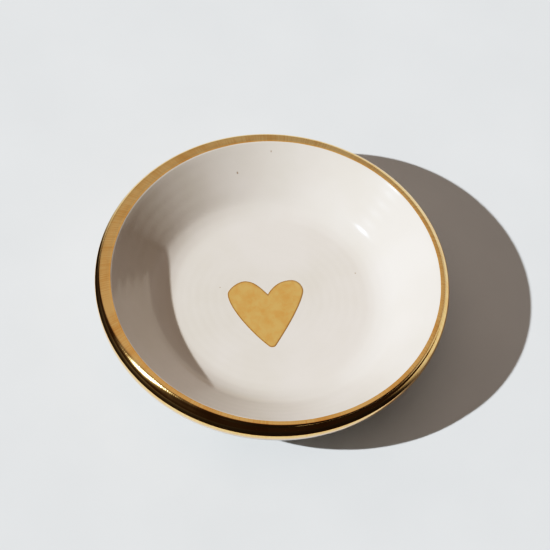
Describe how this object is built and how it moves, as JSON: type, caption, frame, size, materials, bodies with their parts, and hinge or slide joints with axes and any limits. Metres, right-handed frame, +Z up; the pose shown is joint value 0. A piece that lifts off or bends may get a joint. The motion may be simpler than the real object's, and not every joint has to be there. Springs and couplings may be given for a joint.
{
  "type": "ring dish",
  "caption": "Shallow round ceramic ring dish in warm white glaze, with a gold lustre rim and a painted gold heart on its floor.",
  "frame": {"origin": "middle of the foot ring, on the surface that the dish stands on", "axes": "+Z up along the turning axis; the heart's tip points to -Y and its lobes to +Y"},
  "size_m": [0.096, 0.096, 0.021],
  "materials": {
    "bare_clay": "unglazed fired clay, dry and slightly gritty",
    "glaze": "glossy warm white glaze with a few iron specks",
    "rim_lustre": "bright gold lustre over glaze, brushed on round the lip",
    "heart_lustre": "satin gold lustre over glaze, brushed on, with a darker edge"
  },
  "bodies": {
    "root": {"clay_body": "bare_clay", "glaze_coat": "glaze", "base_glaze": "glaze", "rim_gold_band": "rim_lustre", "heart_gold": "heart_lustre"}
  },
  "joints": []
}
